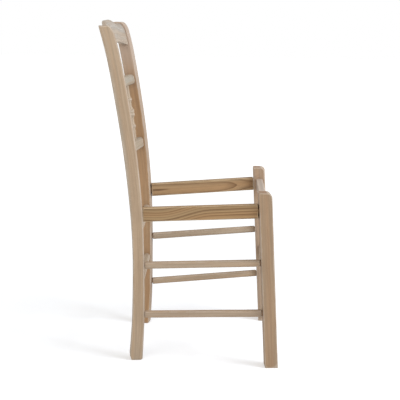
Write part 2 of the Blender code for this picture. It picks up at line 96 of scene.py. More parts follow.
def curveAt(stations, where):
    # smooth curve through (place, value) pairs, carried on straight beyond its ends
    last = len(stations) - 1
    slopes = []
    for index in range(last + 1):
        before, after = stations[max(index - 1, 0)], stations[min(index + 1, last)]
        slopes.append((after[1] - before[1]) / (after[0] - before[0]))
    if where <= stations[0][0]:
        return stations[0][1] + slopes[0] * (where - stations[0][0])
    if where >= stations[-1][0]:
        return stations[-1][1] + slopes[-1] * (where - stations[-1][0])
    index = max(i for i in range(last) if stations[i][0] <= where)
    (start, low), (end, high) = stations[index], stations[index + 1]
    span = end - start
    part = (where - start) / span
    rest = 1.0 - part
    return (
        low * (1.0 + 2.0 * part) * rest * rest
        + high * (1.0 + 2.0 * rest) * part * part
        + slopes[index] * span * part * rest * rest
        - slopes[index + 1] * span * rest * part * part
    )


def smoothStep(value):
    value = min(max(value, 0.0), 1.0)
    return value * value * (3.0 - 2.0 * value)


def roundInset(drop, depth, height):
    # how far a rounded corner has come in at this drop below its top
    if drop >= height:
        return 0.0
    part = 1.0 - max(drop, 0.0) / height
    return depth * (1.0 - math.sqrt(1.0 - part * part))


sandingNoise = {"seedStep": 3.7, "perMetre": 9.0}


def sandedOff(seed, where, most):
    # uneven hand sanding, always inwards
    spot = Vector((seed * sandingNoise["seedStep"], where * sandingNoise["perMetre"], 0.5))
    return most * 0.5 * (1.0 + noise.noise(spot))


def arrisShare(seed, where, wander):
    # how much bigger or smaller than its usual size an arris is here
    return 1.0 + wander * (sandedOff(seed + 40, where, 1.0) - 0.5)


def evenSteps(start, end, spacing):
    count = max(int(round(abs(end - start) / spacing)), 1)
    return [start + (end - start) * step / count for step in range(count + 1)]


cornerSteps = 5                            # steps round each corner of an outline
flatParts = (0.05, 0.18, 0.5, 0.82, 0.95)  # where points lie along each flat
leastRadius = 0.0002                       # of a corner
mostRadius = 0.94                          # of a corner, as a part of half the width or height


def cornerOutline(halfWide, halfHigh, corners):
    # points round a rectangle whose corners are rounded by (across, up), from the low front
    # corner by way of the high front one, with more points along the flats between them
    arcs = []
    signs = ((-1, -1), (-1, 1), (1, 1), (1, -1))
    for number, ((signWide, signHigh), (wide, high)) in enumerate(zip(signs, corners)):
        first = math.pi * (1.5 - 0.5 * number)
        arc = []
        for step in range(cornerSteps + 1):
            angle = first - 0.5 * math.pi * step / cornerSteps
            arc.append((
                signWide * (halfWide - wide) + wide * math.cos(angle),
                signHigh * (halfHigh - high) + high * math.sin(angle),
            ))
        arcs.append(arc)
    outline = []
    for arc, after in zip(arcs, arcs[1:] + arcs[:1]):
        outline += arc
        start, end = arc[-1], after[0]
        for part in flatParts:
            outline.append(tuple(start[axis] + (end[axis] - start[axis]) * part for axis in (0, 1)))
    return outline


def roundedOutline(width, height, radii, grow=0.0):
    halfWide, halfHigh = width / 2 + grow, height / 2 + grow
    corners = []
    for radius in radii:
        radius = min(radius + grow, mostRadius * halfWide, mostRadius * halfHigh)
        radius = max(radius, leastRadius)
        corners.append((radius, radius))
    return cornerOutline(halfWide, halfHigh, corners)


def postRear(height):
    return curveAt(post["rear"], height)


def postFront(height):
    return postRear(height) - curveAt(post["depth"], height)


def postMiddleX(height):
    splay = layout["postSplay"] * (height - layout["splayHeight"])
    return (layout["backWidth"] - post["width"]) / 2 + splay


def innerFace(spec, middle, behind):
    # inner face of a turned post or leg, at a distance behind its middle
    turn = math.radians(spec["turn"])
    return middle - spec["width"] / 2 / math.cos(turn) + behind * math.tan(turn)


def postInnerX(height, depth=None):
    # at a depth behind the post's front, or else at its middle
    behind = 0.0 if depth is None else depth - curveAt(post["depth"], height) / 2
    return innerFace(post, postMiddleX(height), behind)


def turned(degrees, sign, across, along):
    # turns a point of a level outline so that the front of a post or leg faces inwards
    turn = -sign * math.radians(degrees)
    return Vector((
        across * math.cos(turn) - along * math.sin(turn),
        across * math.sin(turn) + along * math.cos(turn),
        0.0,
    ))


def legFront(height):
    return layout["legRake"] * height


# wood materials

def addSockets(group, kind, sockets):
    # a socket with no plain value is a vector
    for name, value in sockets.items():
        socketType = "NodeSocketVector" if value is None else "NodeSocketFloat"
        socket = group.interface.new_socket(name, in_out=kind, socket_type=socketType)
        if value is not None and kind == "INPUT":
            socket.default_value = value


def feed(tree, node, inputs):
    # links and plain values for the inputs of a node
    for key, value in inputs.items():
        if isinstance(value, bpy.types.NodeSocket):
            tree.links.new(value, node.inputs[key])
        else:
            node.inputs[key].default_value = value


def place(tree, kind, inputs=None, **settings):
    node = tree.nodes.new(kind)
    for key, value in settings.items():
        setattr(node, key, value)
    feed(tree, node, inputs or {})
    return node


def newMaterial(name):
    material = bpy.data.materials.new(name)
    material.use_nodes = True
    return material, material.node_tree, material.node_tree.nodes["Principled BSDF"]


def maths(tree, operation, first, second=0.5, third=0.0):
    node = place(tree, "ShaderNodeMath", {0: first, 1: second, 2: third}, operation=operation)
    return node.outputs[0]


def ranged(tree, value, low, high, toLow=0.0, toHigh=1.0):
    node = place(tree, "ShaderNodeMapRange", {
        "Value": value, "From Min": low, "From Max": high, "To Min": toLow, "To Max": toHigh,
    }, interpolation_type="SMOOTHSTEP")
    return node.outputs["Result"]


def mixed(tree, factor, first, second):
    node = place(tree, "ShaderNodeMix", {0: factor, 6: first, 7: second}, data_type="RGBA")
    return node.outputs[2]


def lengthOf(tree, vector):
    return place(tree, "ShaderNodeVectorMath", {0: vector}, operation="LENGTH").outputs["Value"]


def grainNoise(tree, grain, key):
    scales, detail, roughness, distortion = grainNoises[key]
    scaled = place(tree, "ShaderNodeVectorMath", {0: grain, 1: scales}, operation="MULTIPLY")
    return place(tree, "ShaderNodeTexNoise", {
        "Vector": scaled.outputs[0], "Scale": 1.0, "Detail": detail, "Roughness": roughness,
        "Distortion": distortion,
    }).outputs[0]


def newGroup(name, inputs, outputs):
    group = bpy.data.node_groups.new(name, "ShaderNodeTree")
    addSockets(group, "INPUT", inputs)
    addSockets(group, "OUTPUT", outputs)
    return group, place(group, "NodeGroupInput").outputs, place(group, "NodeGroupOutput").inputs


# scales per metre along the grain, across it and through it; detail, roughness, distortion
grainNoises = {
    "slowWander": ((3.5, 22.0, 22.0), 1.0, 0.5, 0.0),
    "quickWander": ((14.0, 140.0, 140.0), 2.0, 0.5, 0.0),
    "fine": ((70.0, 2600.0, 2600.0), 3.0, 0.6, 0.0),
    "streak": ((6.0, 230.0, 230.0), 3.0, 0.6, 0.3),
    "broad": ((1.8, 55.0, 55.0), 2.0, 0.5, 0.4),
    "dashes": ((330.0, 1900.0, 2900.0), 1.0, 0.5, 0.0),
    "fleckPatches": ((12.0, 90.0, 90.0), 1.0, 0.5, 0.0),
    "wearPatches": ((26.0, 60.0, 60.0), 3.0, 0.6, 0.0),
}
# values between which a mask goes from none to full; wearPatches adds the last two instead
maskRanges = {
    "streak": (0.28, 0.72),
    "broad": (0.30, 0.70),
    "fine": (0.25, 0.75),
    "dashes": (0.60, 0.70),
    "fleckPatches": (0.30, 0.62),
    "wearPatches": (0.30, 0.70, -0.26, 0.16),
    "rubbed": (0.32, 0.70),
    "facing": (0.25, 0.55),
}
ringShape = {
    "quickShare": 0.22,   # of the quick wander, beside the slow one
    "wanderMiddle": 0.61,
    "unevenScale": 0.45,  # how soon the width of the rings changes
    "unevenness": 1.6,
    "lineEdge": 0.90,     # where in a ring its dark line ends
}


def makeGrowthRings():
    # rings round the heart of the tree: paler early wood darkening to a sharp line of late wood
    inputs = {"Grain": None, "Spacing": 0.003, "Wander": 0.002, "Late Wood": 3.0}
    group, given, result = newGroup("growthRings", inputs, {"Ring": 0.0})
    parts = place(group, "ShaderNodeSeparateXYZ", {0: given["Grain"]})
    flat = place(group, "ShaderNodeCombineXYZ", {"Y": parts.outputs["Y"], "Z": parts.outputs["Z"]})
    radius = lengthOf(group, flat.outputs[0])
    slow = grainNoise(group, given["Grain"], "slowWander")
    quick = grainNoise(group, given["Grain"], "quickWander")
    slow = maths(group, "SUBTRACT", slow, ringShape["wanderMiddle"])
    shift = maths(group, "MULTIPLY_ADD", quick, ringShape["quickShare"], slow)
    warped = maths(group, "MULTIPLY_ADD", shift, given["Wander"], radius)
    count = maths(group, "DIVIDE", warped, given["Spacing"])
    uneven = place(group, "ShaderNodeTexNoise", {
        "W": count, "Scale": ringShape["unevenScale"], "Detail": 1.0,
    }, noise_dimensions="1D").outputs[0]
    count = maths(group, "MULTIPLY_ADD", uneven, ringShape["unevenness"], count)
    part = maths(group, "FRACT", count)
    rise = maths(group, "POWER", part, given["Late Wood"])
    fall = ranged(group, part, ringShape["lineEdge"], 1.0, 1.0, 0.0)
    group.links.new(maths(group, "MULTIPLY", rise, fall), result["Ring"])
    return group


def makeWoodFibres():
    # fine fibres, narrow streaks and broad bands of tone, all drawn out along the grain
    outputs = {"Fine": 0.0, "Streak": 0.0, "Broad": 0.0}
    group, given, result = newGroup("woodFibres", {"Grain": None}, outputs)
    fine = grainNoise(group, given["Grain"], "fine")
    streak = grainNoise(group, given["Grain"], "streak")
    broad = grainNoise(group, given["Grain"], "broad")
    group.links.new(fine, result["Fine"])
    group.links.new(ranged(group, streak, *maskRanges["streak"]), result["Streak"])
    group.links.new(ranged(group, broad, *maskRanges["broad"]), result["Broad"])
    return group


def makeRayFlecks():
    # the short dark dashes that beech shows
    group, given, result = newGroup("rayFlecks", {"Grain": None, "Amount": 0.5}, {"Mask": 0.0})
    dashes = grainNoise(group, given["Grain"], "dashes")
    patches = grainNoise(group, given["Grain"], "fleckPatches")
    dashes = ranged(group, dashes, *maskRanges["dashes"])
    patches = ranged(group, patches, *maskRanges["fleckPatches"])
    strong = maths(group, "MULTIPLY", dashes, patches)
    group.links.new(maths(group, "MULTIPLY", strong, given["Amount"]), result["Mask"])
    return group


def makeEdgeWear():
    # corners that sanding and handling have rubbed, in uneven patches
    inputs = {"Grain": None, "Edge": 0.0, "Amount": 0.5}
    group, given, result = newGroup("edgeWear", inputs, {"Mask": 0.0})
    patches = grainNoise(group, given["Grain"], "wearPatches")
    near = maths(group, "ADD", given["Edge"], ranged(group, patches, *maskRanges["wearPatches"]))
    rubbed = ranged(group, near, *maskRanges["rubbed"])
    group.links.new(maths(group, "MULTIPLY", rubbed, given["Amount"]), result["Mask"])
    return group


woodGroups = {
    "rings": makeGrowthRings(),
    "fibres": makeWoodFibres(),
    "flecks": makeRayFlecks(),
    "wear": makeEdgeWear(),
}

# colours are linear; the two tones lie in bands along the grain
beechLook = {
    "warmTone": (0.447, 0.312, 0.195),
    "greyTone": (0.412, 0.330, 0.240),
    "ringTone": (0.330, 0.200, 0.110),
    "fleckTone": (0.230, 0.125, 0.060),
    # a paler, greyer tone: painted light on faces that look to the front
    "fadedTone": (0.380, 0.296, 0.222),
    "wornTone": (0.520, 0.430, 0.335),
    "endTone": (0.330, 0.205, 0.125),
    # darker tone round the joints: grime, and painted shade where parts meet
    "grimeTone": (0.210, 0.135, 0.085),
    "ringSpacing": 0.0036,
    "ringWander": 0.0030,
    "lateWood": 2.0,
    "ringStrength": 0.24,
    "fleckStrength": 0.45,
    "wearStrength": 0.55,
    "endStrength": 0.75,
    "streakLight": (0.90, 1.08),  # how dark and how light the streaks and fibres go
    "fibreLight": (0.93, 1.06),
    "grimeLeast": 0.10,
    "grimeStreak": 0.25,
    "roughness": (0.56, 0.74),
    "specular": 0.4,
    "ringRelief": 0.45,
    "fibreRelief": 0.8,
    "bumpStrength": 0.6,
    "bumpDistance": 0.00016,
}
pineLook = {
    **beechLook,
    "warmTone": (0.412, 0.262, 0.136),
    "greyTone": (0.392, 0.276, 0.158),
    "ringTone": (0.120, 0.058, 0.018),
    "fleckTone": (0.210, 0.110, 0.045),
    "wornTone": (0.520, 0.390, 0.240),
    "endTone": (0.290, 0.170, 0.080),
    "ringSpacing": 0.0054,
    "ringWander": 0.0040,
    "lateWood": 2.8,
    "ringStrength": 1.0,
    "fleckStrength": 0.12,
    "bumpDistance": 0.00022,
}


def useGroup(tree, key, inputs):
    return place(tree, "ShaderNodeGroup", inputs, node_tree=woodGroups[key]).outputs


def tinted(colour, tint=(1.0, 1.0, 1.0)):
    return tuple(colour[i] * tint[i] for i in range(3)) + (1.0,)


def woodMaterial(name, look, board):
    material, tree, shader = newMaterial(name)
    read = {}
    for key in ("grain", "edge", "endGrain", "joint", "facing"):
        socket = "Vector" if key == "grain" else "Fac"
        read[key] = place(tree, "ShaderNodeAttribute", attribute_name=key).outputs[socket]
    fibres = useGroup(tree, "fibres", {"Grain": read["grain"]})
    rings = useGroup(tree, "rings", {
        "Grain": read["grain"],
        "Spacing": board.get("spacing", look["ringSpacing"]),
        "Wander": look["ringWander"],
        "Late Wood": look["lateWood"],
    })
    flecks = useGroup(tree, "flecks", {"Grain": read["grain"], "Amount": look["fleckStrength"]})
    wear = useGroup(tree, "wear", {
        "Grain": read["grain"], "Edge": read["edge"], "Amount": look["wearStrength"],
    })

    # bands of two tones, rings, streaks with fibres, and flecks
    tone = {}
    for key in ("warm", "grey", "ring", "fleck", "end", "grime"):
        tone[key] = tinted(look[key + "Tone"], board["tint"])
    colour = mixed(tree, fibres["Broad"], tone["warm"], tone["grey"])
    figure = look["ringStrength"] * board.get("figure", 1.0)
    colour = mixed(tree, maths(tree, "MULTIPLY", rings["Ring"], figure), colour, tone["ring"])
    streaks = ranged(tree, fibres["Streak"], 0.0, 1.0, *look["streakLight"])
    fine = ranged(tree, fibres["Fine"], *maskRanges["fine"], *look["fibreLight"])
    brightness = maths(tree, "MULTIPLY", streaks, fine)
    colour = place(
        tree, "ShaderNodeVectorMath", {0: colour, "Scale": brightness}, operation="SCALE",
    ).outputs[0]
    colour = mixed(tree, flecks["Mask"], colour, tone["fleck"])

    # painted light on fronts and tops, rubbed edges, cut ends, grime and painted shade at joints
    # front faces turn paler and greyer: painted light from the lamp in front
    facing = ranged(tree, read["facing"], *maskRanges["facing"])
    fronts = maths(tree, "MULTIPLY", facing, board.get("frontFade", 0.0))
    colour = mixed(tree, fronts, colour, tinted(look["fadedTone"]))
    # the upper part of the post turns lighter: painted light where the lamp falls on it
    if "topFade" in board:
        height = place(tree, "ShaderNodeSeparateXYZ", {0: read["grain"]}).outputs["X"]
        start, end, amount = board["topFade"]
        upper = ranged(tree, height, board["start"] + start, board["start"] + end, 0.0, amount)
        colour = mixed(tree, upper, colour, tinted(board["topTone"]))
    colour = mixed(tree, wear["Mask"], colour, tinted(look["wornTone"]))
    cut = maths(tree, "MULTIPLY", read["endGrain"], look["endStrength"])
    colour = mixed(tree, cut, colour, tone["end"])
    # darker round the joints: grime, and painted shade where the parts meet
    uneven = maths(tree, "MULTIPLY_ADD", fibres["Streak"], look["grimeStreak"], look["grimeLeast"])
    grime = maths(tree, "MULTIPLY", read["joint"], uneven)
    grime = maths(tree, "MULTIPLY", grime, board.get("grime", 1.0))
    colour = mixed(tree, grime, colour, tone["grime"])

    # gloss and relief
    low, high = look["roughness"]
    relief = maths(tree, "MULTIPLY", fibres["Fine"], look["fibreRelief"])
    relief = maths(tree, "MULTIPLY_ADD", rings["Ring"], look["ringRelief"], relief)
    relief = maths(tree, "SUBTRACT", relief, flecks["Mask"])
    bump = place(tree, "ShaderNodeBump", {
        "Height": relief, "Strength": look["bumpStrength"], "Distance": look["bumpDistance"],
    })
    feed(tree, shader, {
        "Base Color": colour,
        "Roughness": ranged(tree, fibres["Streak"], 0.0, 1.0, high, low),
        "Specular IOR Level": look["specular"],
        "Normal": bump.outputs[0],
    })
    return material


# how each board was sawn

def sawn(turn, heart, start, tint, **more):
    # turn of its rings in degrees, where the tree's heart lies from its middle and where
    # along the tree it starts (both in metres), and its tint; besides these, the spacing of
    # its rings, the strength of its figure and of its grime and painted shade at the joints,
    # how much painted light pales its front, and the painted light on its top, which is two
    # heights and by how much it turns to a lighter top tone between them
    return {"turn": turn, "heart": heart, "start": start, "tint": tint, **more}


boards = {
    "back_post_right": sawn(
        12, (0.120, 0.050), 1.30, (0.90, 0.90, 0.90), frontFade=0.5, figure=0.55,
    ),
    "back_post_left": sawn(
        40, (0.090, 0.060), 4.10, (0.88, 0.73, 0.57),
        # its upper part is lightened by painted light
        figure=0.8, frontFade=0.70, topFade=(0.66, 0.79, 0.75), topTone=(0.440, 0.332, 0.252),
    ),
    "front_leg_right": sawn(-25, (0.070, 0.080), 7.20, (0.79, 0.69, 0.59)),
    "front_leg_left": sawn(65, (0.050, 0.070), 9.70, (0.96, 0.90, 0.88)),
    "side_rail_right": sawn(0, (0.030, 0.060), 12.4, (0.93, 0.85, 0.72), spacing=0.0068, grime=0.4),
    "side_rail_left": sawn(0, (0.025, 0.001), 15.1, (0.97, 0.90, 0.81), grime=0.4),
    # its pale, cool tint is partly painted light falling on its front
    "front_seat_rail": sawn(80, (0.060, 0.050), 18.3, (1.13, 1.18, 1.35)),
    "front_stretcher": sawn(30, (0.050, 0.070), 21.9, (1.00, 1.00, 1.00)),
    "side_stretcher_upper_right": sawn(55, (0.040, 0.050), 24.5, (0.98, 0.94, 0.91), grime=0.3),
    "side_stretcher_upper_left": sawn(15, (0.060, 0.050), 27.2, (0.98, 0.95, 0.92), grime=0.3),
    "side_stretcher_lower_right": sawn(-35, (0.050, 0.040), 30.6, (0.99, 0.94, 0.91), grime=0.3),
    "side_stretcher_lower_left": sawn(75, (0.070, 0.040), 33.8, (0.96, 0.94, 0.92), grime=0.3),
    "rear_rail": sawn(20, (0.050, 0.060), 36.4, (0.99, 0.98, 0.97)),
    "rear_stretcher": sawn(50, (0.060, 0.040), 39.1, (1.01, 1.01, 1.00)),
    # the cool, grey tints of the crest rail and back rails are partly painted light from the front
    "crest_rail": sawn(85, (0.110, 0.070), 42.7, (0.93, 1.02, 1.16)),
    "back_rail_upper": sawn(70, (0.060, 0.050), 45.3, (0.85, 0.92, 0.97)),
    "back_rail_lower": sawn(35, (0.070, 0.050), 48.6, (0.84, 0.91, 0.97)),
    "spindle_1": sawn(10, (0.030, 0.040), 51.2, (1.03, 1.05, 1.08)),
    "spindle_2": sawn(60, (0.035, 0.030), 54.9, (1.01, 1.02, 1.05)),
    "spindle_3": sawn(110, (0.028, 0.036), 57.5, (1.04, 1.06, 1.08)),
    "spindle_4": sawn(160, (0.033, 0.034), 60.2, (1.02, 1.04, 1.06)),
}
jointSpots = []  # where one piece enters another


# meshes

def newObject(name, data):
    made = bpy.data.objects.new(name, data)
    bpy.context.scene.collection.objects.link(made)
    return made


def capped(rings, fractions=(0.93, 0.6, 0.25)):
    # flat ends made of rings that shrink to the middle
    def shrunk(ring):
        middle = sum(ring, Vector()) / len(ring)
        return [[middle + (point - middle) * fraction for point in ring] for fraction in fractions]
    return list(reversed(shrunk(rings[0]))) + rings + shrunk(rings[-1])


def loftMesh(name, rings):
    count = len(rings[0])
    points = [point for ring in rings for point in ring]
    faces = []
    for row in range(len(rings) - 1):
        for index in range(count):
            after = (index + 1) % count
            low, high = row * count, (row + 1) * count
            faces.append((low + index, low + after, high + after, high + index))
    faces.append(tuple(range(count)))
    faces.append(tuple(range(len(points) - 1, len(points) - 1 - count, -1)))
    mesh = bpy.data.meshes.new(name)
    mesh.from_pydata(points, [], faces)
    bm = bmesh.new()
    bm.from_mesh(mesh)
    bmesh.ops.recalc_face_normals(bm, faces=bm.faces)
    bm.to_mesh(mesh)
    bm.free()
    return mesh


# distances in metres at which a point counts as near something
nearness = {"edge": 0.0055, "joint": 0.030, "cutEnd": 0.0003, "insideEdge": 0.0004}


def addAttributes(mesh, name, locate):
    # grain: place in the tree; edge: closeness to a corner; endGrain: cut ends;
    # joint: closeness to a joint; facing: how far it faces the front
    board = boards[name]
    turn = math.radians(board["turn"])
    cosTurn, sinTurn = math.cos(turn), math.sin(turn)
    grain, edge, endGrain, facing = [], [], [], []
    for vertex in mesh.vertices:
        along, across, deep, gapAcross, gapDeep, gapEnd = locate(vertex.co)
        grain += (
            along + board["start"],
            across * cosTurn - deep * sinTurn + board["heart"][0],
            across * sinTurn + deep * cosTurn + board["heart"][1],
        )
        gaps = sorted((abs(gapAcross), abs(gapDeep), abs(gapEnd)))
        edge.append(max(0.0, 1.0 - gaps[1] / nearness["edge"]))
        atEnd = abs(gapEnd) < nearness["cutEnd"] and gaps[1] > nearness["insideEdge"]
        endGrain.append(1.0 if atEnd else 0.0)
        facing.append(max(-vertex.normal.y, 0.0))
    points = np.array([vertex.co for vertex in mesh.vertices])
    joint = np.zeros(len(points))
    for spot in jointSpots:
        away = np.linalg.norm(points - np.array(spot), axis=1)
        joint = np.maximum(joint, 1.0 - away / nearness["joint"])
    mesh.attributes.new("grain", "FLOAT_VECTOR", "POINT").data.foreach_set("vector", grain)
    masks = {"edge": edge, "endGrain": endGrain, "joint": joint.tolist(), "facing": facing}
    for key, values in masks.items():
        mesh.attributes.new(key, "FLOAT", "POINT").data.foreach_set("value", values)


waiting = []   # pieces that get their mortises and attributes once all the joints are known
mortises = {}  # the holes to cut in each piece


sharpFrom = 38  # degrees between two faces that meet in a sharp edge


def shadeWood(mesh):
    mesh.shade_smooth()
    mesh.set_sharp_from_angle(angle=math.radians(sharpFrom))


def addPiece(name, rings, locate, look):
    mesh = loftMesh(name + "_wood", capped(rings))
    shadeWood(mesh)
    mesh.materials.append(woodMaterial(name + "_wood", look, boards[name]))
    piece = newObject(name + "_wood", mesh)
    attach(piece, "root")
    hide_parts(name)
    waiting.append((piece, name, locate))


def cutMortises(piece, holes):
    cutters = bpy.data.collections.new("mortiseCutters")
    for rings in holes:
        cutter = bpy.data.objects.new("mortiseCutter", loftMesh("mortiseCutter", rings))
        cutters.objects.link(cutter)
    modifier = piece.modifiers.new("mortises", "BOOLEAN")
    modifier.operand_type = "COLLECTION"
    modifier.collection = cutters
    modifier.solver = "EXACT"
    whole = piece.data
    depsgraph = bpy.context.evaluated_depsgraph_get()
    piece.data = bpy.data.meshes.new_from_object(piece.evaluated_get(depsgraph))
    piece.data.name = whole.name + "Cut"
    piece.modifiers.clear()
    shadeWood(piece.data)
    bpy.data.meshes.remove(whole)
    for cutter in list(cutters.objects):
        bpy.data.meshes.remove(cutter.data)
    bpy.data.collections.remove(cutters)


# back posts

post = {
    "width": 0.034,
    "height": 0.865,
    # depth of the rear face behind the toe, and the post's own depth, by height
    "rear": (
        (0.000, 0.3866), (0.100, 0.3794), (0.200, 0.3771), (0.300, 0.3775), (0.400, 0.3834),
        (0.550, 0.3999), (0.700, 0.4232), (0.800, 0.4421), (0.865, 0.4588),
    ),
    "depth": (
        (0.000, 0.0340), (0.150, 0.0305), (0.300, 0.0292), (0.450, 0.0325), (0.650, 0.0345),
        (0.865, 0.0343),
    ),
    "turn": 6.5,                 # degrees, front face inwards
    "topRound": (0.012, 0.024),  # deep, high
    "heelCut": (0.005, 0.012),
    "toeCut": 0.003,
    "frontArris": 0.0050,
    "rearArris": 0.0020,
    "arrisWander": 0.16,
    "ease": 0.0020,
    "footRings": (0.0, 0.0008, 0.0016, 0.0030, 0.0075),
    "topAngles": (12, 24, 36, 48, 60, 72, 80),  # of the rings round the top
    "lastRing": 0.0002,                         # below the top
    "spacing": 0.011,
    "sanding": 0.0003,
}


def addUpright(name, spec, sideName, seed, heights, insets, radiiAt, faces):
    # a post or leg made of level rings; insets gives how far the front, rear and sides have
    # come in at a height, and faces are the places of the front, the rear and the middle
    sign = sides[sideName]
    frontAt, rearAt, middleAt = faces

    def heartAt(height):
        depth = (frontAt(height) + rearAt(height)) / 2
        return Vector((sign * middleAt(height), layout["toe"] + depth, height))

    rings = []
    for height in heights:
        front, rear, side = insets(height)
        near = frontAt(height) + front
        far = rearAt(height) - rear - sandedOff(seed, height, spec["sanding"])
        width = spec["width"] - 2 * side - 2 * sandedOff(seed + 20, height, spec["sanding"])
        share = arrisShare(seed, height, spec["arrisWander"])
        outline = roundedOutline(far - near, width, radiiAt(share))
        shift = (near + far - frontAt(height) - rearAt(height)) / 2
        heart = heartAt(height)
        rings.append([
            heart + turned(spec["turn"], sign, wide, along + shift) for along, wide in outline
        ])

    def locate(point):
        height = min(max(point.z, 0.0), spec["height"])
        front, rear, side = insets(height)
        half = (rearAt(height) - frontAt(height)) / 2
        heart = heartAt(height)
        offset = turned(-spec["turn"], sign, point.x - heart.x, point.y - heart.y)
        across, deep = sign * offset.x, offset.y
        gapAcross = spec["width"] / 2 - side - abs(across)
        gapDeep = min(deep + half - front, half - rear - deep)
        return height, across, deep, gapAcross, gapDeep, min(height, spec["height"] - height)

    addPiece(name + sideName, rings, locate, beechLook)


def roundedTop(top, high, angles):
    # heights of the rings round a rounded top
    return [top - high * (1 - math.sin(math.radians(angle))) for angle in angles]


def addPost(sideName, seed):
    top = post["height"]
    roundDepth, roundHeight = post["topRound"]
    heelDepth, heelHeight = post["heelCut"]
    heights = list(post["footRings"])
    heights += evenSteps(heelHeight, top - roundHeight, post["spacing"])
    heights += roundedTop(top, roundHeight, post["topAngles"])
    heights += [top - post["lastRing"], top]

    def insets(height):
        ease = roundInset(top - height, post["ease"], post["ease"])
        front = max(roundInset(top - height, roundDepth, roundHeight), post["toeCut"] - height)
        rear = max(ease, heelDepth * (1 - height / heelHeight), 0.0)
        return front, rear, max(ease, roundInset(height, post["ease"], post["toeCut"]))

    def radiiAt(share):
        return (post["frontArris"] * share,) * 2 + (post["rearArris"],) * 2

    faces = (postFront, postRear, postMiddleX)
    addUpright("back_post_", post, sideName, seed, heights, insets, radiiAt, faces)


# front legs

leg = {
    "width": 0.038,
    "depth": 0.0335,
    "turn": 4.0,  # degrees, front face inwards
    "height": 0.457,
    "topRound": 0.012,
    "arris": 0.0020,
    "arrisWander": 0.30,
    "ease": 0.0012,
    "footRings": (0.0, 0.0002, 0.0006),
    "topAngles": (15, 30, 45, 58, 70, 80),
    "spacing": 0.012,
    "sanding": 0.0003,
}
legMiddleX = (layout["frontWidth"] - leg["width"]) / 2


def legRear(height):
    return legFront(height) + leg["depth"]


def addLeg(sideName, seed):
    top, topRound = leg["height"], leg["topRound"]
    heights = list(leg["footRings"])
    heights += evenSteps(leg["ease"], top - topRound, leg["spacing"])
    heights += roundedTop(top, topRound, leg["topAngles"]) + [top]

    def insets(height):
        ease = roundInset(min(height, top - height), leg["ease"], leg["ease"])
        return max(ease, roundInset(top - height, topRound, topRound)), ease, ease

    def radiiAt(share):
        return (leg["arris"] * share,) * 4

    faces = (legFront, legRear, lambda height: legMiddleX)
    addUpright("front_leg_", leg, sideName, seed, heights, insets, radiiAt, faces)


# straight bars with a tenon at each end

def addBar(name, seed, ends, origin, axes, length, bar, look, warp=None):
    # the bar's axes are along, across and up; its shoulders stand off by bar["gaps"], and
    # bar["flare"] is how much its ends slant to follow turned legs
    along, across, up = axes
    thickness, height = bar["size"]
    tenonWide, tenonHigh = bar["tenon"]
    ease, reach, flare = bar["ease"], bar["tenonLength"], bar.get("flare", 0.0)
    startGap, endGap = bar["gaps"]
    chamfer, endSpacing = layout["tenonChamfer"], layout["endSpacing"]

    def outlineAt(where):
        fromEnd = min(where - startGap, length - endGap - where)
        inset = roundInset(fromEnd, ease * layout["easeDepth"], ease)
        width = thickness - 2 * sandedOff(seed, where, bar["sanding"])
        tall = height - 2 * sandedOff(seed + 20, where, bar["sanding"])
        radius = bar["arris"] * arrisShare(seed, where, layout["arrisWander"])
        return roundedOutline(width, tall, (radius,) * 4, -inset)

    def peg(grow):
        return roundedOutline(tenonWide, tenonHigh, (min(tenonWide, tenonHigh) / 2,) * 4, grow)

    steps = [ease * part for part in layout["easeSteps"]]
    start, end = startGap + ease + endSpacing, length - endGap - ease - endSpacing
    body = [startGap + step for step in steps]
    body += evenSteps(start, end, layout["ringSpacing"])
    body += [length - endGap - step for step in reversed(steps)]
    stations = [(-reach, peg(-chamfer)), (-reach + chamfer, peg(0.0)), (startGap, peg(0.0))]
    stations += [(where, outlineAt(where)) for where in body]
    stations.append((length - endGap, peg(0.0)))
    stations.append((length + reach - chamfer, peg(0.0)))
    stations.append((length + reach, peg(-chamfer)))

    def ringAt(where, outline):
        ring = []
        for wide, high in outline:
            flared = length / 2 + (where - length / 2) * (1.0 + flare * wide)
            ring.append(origin + along * flared + across * wide + up * high)
        return ring

    rings = [ringAt(where, outline) for where, outline in stations]
    hole = peg(layout["tenonClearance"])
    deep, out = reach + layout["mortiseSpare"], layout["mouthReach"]
    for holder, places in zip(ends, ((-deep, out), (length - out, length + deep))):
        mortises.setdefault(holder, []).append([ringAt(where, hole) for where in places])

    def locate(point):
        offset = point - origin
        where, wide, high = offset.dot(along), offset.dot(across), offset.dot(up)
        where = length / 2 + (where - length / 2) / (1.0 + flare * wide)
        gapEnd = min(where - startGap, length - endGap - where)
        inTree = warp(where, wide, high) if warp else (where, wide, high)
        return inTree + (thickness / 2 - abs(wide), height / 2 - abs(high), gapEnd)

    jointSpots.extend((origin, origin + along * length))
    addPiece(name, rings, locate, look)


# side rails of the seat, with the figure of two flat-sawn boards

sideRail = {
    "top": 0.4090,
    "size": (0.0180, 0.0366),
    "arris": 0.0022,
    "tenon": (0.0110, 0.0150),
    "tenonLength": 0.0180,
    "gaps": (0.0020, 0.0014),
    "ease": 0.0012,
    "sanding": 0.0002,
}
# how the lines of a board bend in a rail: stretch along the rail, then rises and slopes
nearFigure = {
    "stretch": 0.6,
    "railLength": 0.303,
    "climb": (0.022, 0.16, 0.42),  # by how much, from what part of the length, over what part
    "heel": (0.002, 0.14),
    "slope": 0.004,
}
farFigure = {
    "stretch": 0.6,
    "lean": 0.007,
    "tip": (0.0085, 0.195, 0.10),  # by how much, from where and over what length
    "wave": (0.002, 14.0),
}


